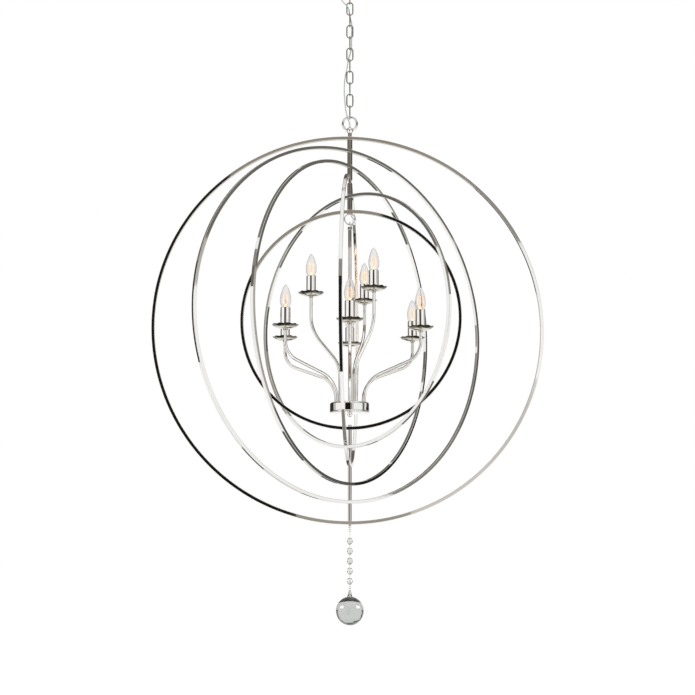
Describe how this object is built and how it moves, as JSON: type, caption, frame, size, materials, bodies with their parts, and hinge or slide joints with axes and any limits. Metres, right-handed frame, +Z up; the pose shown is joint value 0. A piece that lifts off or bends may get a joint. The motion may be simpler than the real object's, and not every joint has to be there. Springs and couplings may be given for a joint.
{
  "type": "orb chandelier",
  "caption": "Chain-hung chandelier of nested square-bar hoops that turn about the stem, with candle lights on tiered arms inside and a bead string with a glass ball below.",
  "frame": {"origin": "centre of the mounting strap's top face, on the ceiling", "axes": "+Z up to the ceiling, +X to the viewer's right, +Y away from the viewer"},
  "size_m": [1.2176, 0.9027, 2.0713],
  "materials": {
    "chrome": "polished",
    "chain_nickel": "polished nickel",
    "zinc_steel": "zinc plated",
    "bushing_plastic": "clear moulded",
    "clear_cord": "clear insulation over silver wire",
    "wire_white": "smooth",
    "socket_body": "moulded",
    "clear_glass": "clear blown glass",
    "brass_base": "stamped",
    "warm_filament": "lit filament",
    "cut_crystal": "clear crystal"
  },
  "bodies": {
    "ceiling": {"mounting_strap": "zinc_steel", "canopy": "chrome", "canopy_nipple": "zinc_steel", "canopy_locknut": "zinc_steel", "canopy_collar": "chrome", "canopy_loop": "chrome", "cord_bushing": "bushing_plastic", "lamp_cord": "clear_cord"},
    "link_11": {"chain_link_11": "chain_nickel"},
    "link_10": {"chain_link_10": "chain_nickel"},
    "link_09": {"chain_link_09": "chain_nickel"},
    "link_08": {"chain_link_08": "chain_nickel"},
    "link_07": {"chain_link_07": "chain_nickel"},
    "link_06": {"chain_link_06": "chain_nickel"},
    "link_05": {"chain_link_05": "chain_nickel"},
    "link_04": {"chain_link_04": "chain_nickel"},
    "link_03": {"chain_link_03": "chain_nickel"},
    "link_02": {"chain_link_02": "chain_nickel"},
    "link_01": {"chain_link_01": "chain_nickel"},
    "stem": {"hang_loop": "chrome", "stem_ball": "chrome", "stem_rod": "zinc_steel", "stem_tubes": "chrome", "hang_ring": "chrome", "cluster_lead": "clear_cord"},
    "hoop_1": {"hoop_1": "chrome", "lower_rod": "zinc_steel", "lower_tubes": "chrome", "lower_cap": "chrome", "lower_foot": "chrome"},
    "hoop_2": {"hoop_2": "chrome"},
    "hoop_3": {"hoop_3": "chrome"},
    "hoop_4": {"hoop_4": "chrome"},
    "hoop_5": {"hoop_5": "chrome"},
    "hoop_6": {"hoop_6": "chrome"},
    "cluster": {"cluster_eye": "chrome", "centre_tube": "chrome", "hub_cover": "chrome", "hub_base": "chrome", "hub_finial": "chrome", "hub_nut": "zinc_steel", "arm_nuts": "zinc_steel", "lower_arms": "chrome", "upper_arms": "chrome", "arm_wires": "wire_white", "pans": "chrome", "pan_nuts": "chrome", "light_nipples": "zinc_steel", "sleeves": "chrome", "sockets": "socket_body", "bulb_glass": "clear_glass", "bulb_bases": "brass_base", "filaments": "warm_filament"},
    "jump_ring": {"jump_ring": "chrome"},
    "bead_string": {"bead_string": "chrome", "beads": "cut_crystal"},
    "glass_ball": {"glass_cap": "chrome", "glass_ball": "cut_crystal"}
  },
  "joints": [
    {"name": "chain_11_swing", "type": "hinge", "parent": "ceiling", "child": "link_11", "pos_m": [0, 0, -0.066], "axis": [1, 0, 0], "range_deg": [-25, 25], "deforming": ["lamp_cord"]},
    {"name": "chain_10_swing", "type": "hinge", "parent": "link_11", "child": "link_10", "pos_m": [0, 0, -0.1045], "axis": [0, 1, 0], "range_deg": [-25, 25], "deforming": ["lamp_cord"]},
    {"name": "chain_09_swing", "type": "hinge", "parent": "link_10", "child": "link_09", "pos_m": [0, 0, -0.1435], "axis": [1, 0, 0], "range_deg": [-25, 25], "deforming": ["lamp_cord"]},
    {"name": "chain_08_swing", "type": "hinge", "parent": "link_09", "child": "link_08", "pos_m": [0, 0, -0.1825], "axis": [0, 1, 0], "range_deg": [-25, 25], "deforming": ["lamp_cord"]},
    {"name": "chain_07_swing", "type": "hinge", "parent": "link_08", "child": "link_07", "pos_m": [0, 0, -0.2215], "axis": [1, 0, 0], "range_deg": [-25, 25], "deforming": ["lamp_cord"]},
    {"name": "chain_06_swing", "type": "hinge", "parent": "link_07", "child": "link_06", "pos_m": [0, 0, -0.2605], "axis": [0, 1, 0], "range_deg": [-25, 25], "deforming": ["lamp_cord"]},
    {"name": "chain_05_swing", "type": "hinge", "parent": "link_06", "child": "link_05", "pos_m": [0, 0, -0.2995], "axis": [1, 0, 0], "range_deg": [-25, 25], "deforming": ["lamp_cord"]},
    {"name": "chain_04_swing", "type": "hinge", "parent": "link_05", "child": "link_04", "pos_m": [0, 0, -0.3385], "axis": [0, 1, 0], "range_deg": [-25, 25], "deforming": ["lamp_cord"]},
    {"name": "chain_03_swing", "type": "hinge", "parent": "link_04", "child": "link_03", "pos_m": [0, 0, -0.3775], "axis": [1, 0, 0], "range_deg": [-25, 25], "deforming": ["lamp_cord"]},
    {"name": "chain_02_swing", "type": "hinge", "parent": "link_03", "child": "link_02", "pos_m": [0, 0, -0.4165], "axis": [0, 1, 0], "range_deg": [-25, 25], "deforming": ["lamp_cord"]},
    {"name": "chain_01_swing", "type": "hinge", "parent": "link_02", "child": "link_01", "pos_m": [0, 0, -0.4555], "axis": [1, 0, 0], "range_deg": [-25, 25], "deforming": ["lamp_cord"]},
    {"name": "orb_swing", "type": "hinge", "parent": "link_01", "child": "stem", "pos_m": [0, 0, -0.4945], "axis": [0, 1, 0], "range_deg": [-20, 20], "deforming": ["lamp_cord"]},
    {"name": "hoop_1_turn", "type": "hinge", "parent": "stem", "child": "hoop_1", "pos_m": [0, 0, -0.55987], "axis": [0, 0, 1], "continuous": true},
    {"name": "hoop_2_turn", "type": "hinge", "parent": "stem", "child": "hoop_2", "pos_m": [0, 0, -0.60257], "axis": [0, 0, 1], "continuous": true},
    {"name": "hoop_3_turn", "type": "hinge", "parent": "stem", "child": "hoop_3", "pos_m": [0, 0, -0.65427], "axis": [0, 0, 1], "continuous": true},
    {"name": "hoop_4_turn", "type": "hinge", "parent": "stem", "child": "hoop_4", "pos_m": [0, 0, -0.70347], "axis": [0, 0, 1], "continuous": true},
    {"name": "hoop_5_turn", "type": "hinge", "parent": "stem", "child": "hoop_5", "pos_m": [0, 0, -0.75167], "axis": [0, 0, 1], "continuous": true},
    {"name": "hoop_6_turn", "type": "hinge", "parent": "stem", "child": "hoop_6", "pos_m": [0, 0, -0.80087], "axis": [0, 0, 1], "continuous": true},
    {"name": "cluster_swing", "type": "hinge", "parent": "stem", "child": "cluster", "pos_m": [0, 0, -0.84142], "axis": [1, 0, 0], "range_deg": [-8, 8], "deforming": ["cluster_lead"]},
    {"name": "jump_ring_swing", "type": "hinge", "parent": "hoop_1", "child": "jump_ring", "pos_m": [0, 0, -1.78507], "axis": [1, 0, 0], "range_deg": [-35, 35]},
    {"name": "bead_string_swing", "type": "hinge", "parent": "jump_ring", "child": "bead_string", "pos_m": [0, 0, -1.79107], "axis": [0, 1, 0], "range_deg": [-35, 35]},
    {"name": "glass_ball_swing", "type": "hinge", "parent": "bead_string", "child": "glass_ball", "pos_m": [0, 0, -1.96497], "axis": [1, 0, 0], "range_deg": [-30, 30]}
  ]
}
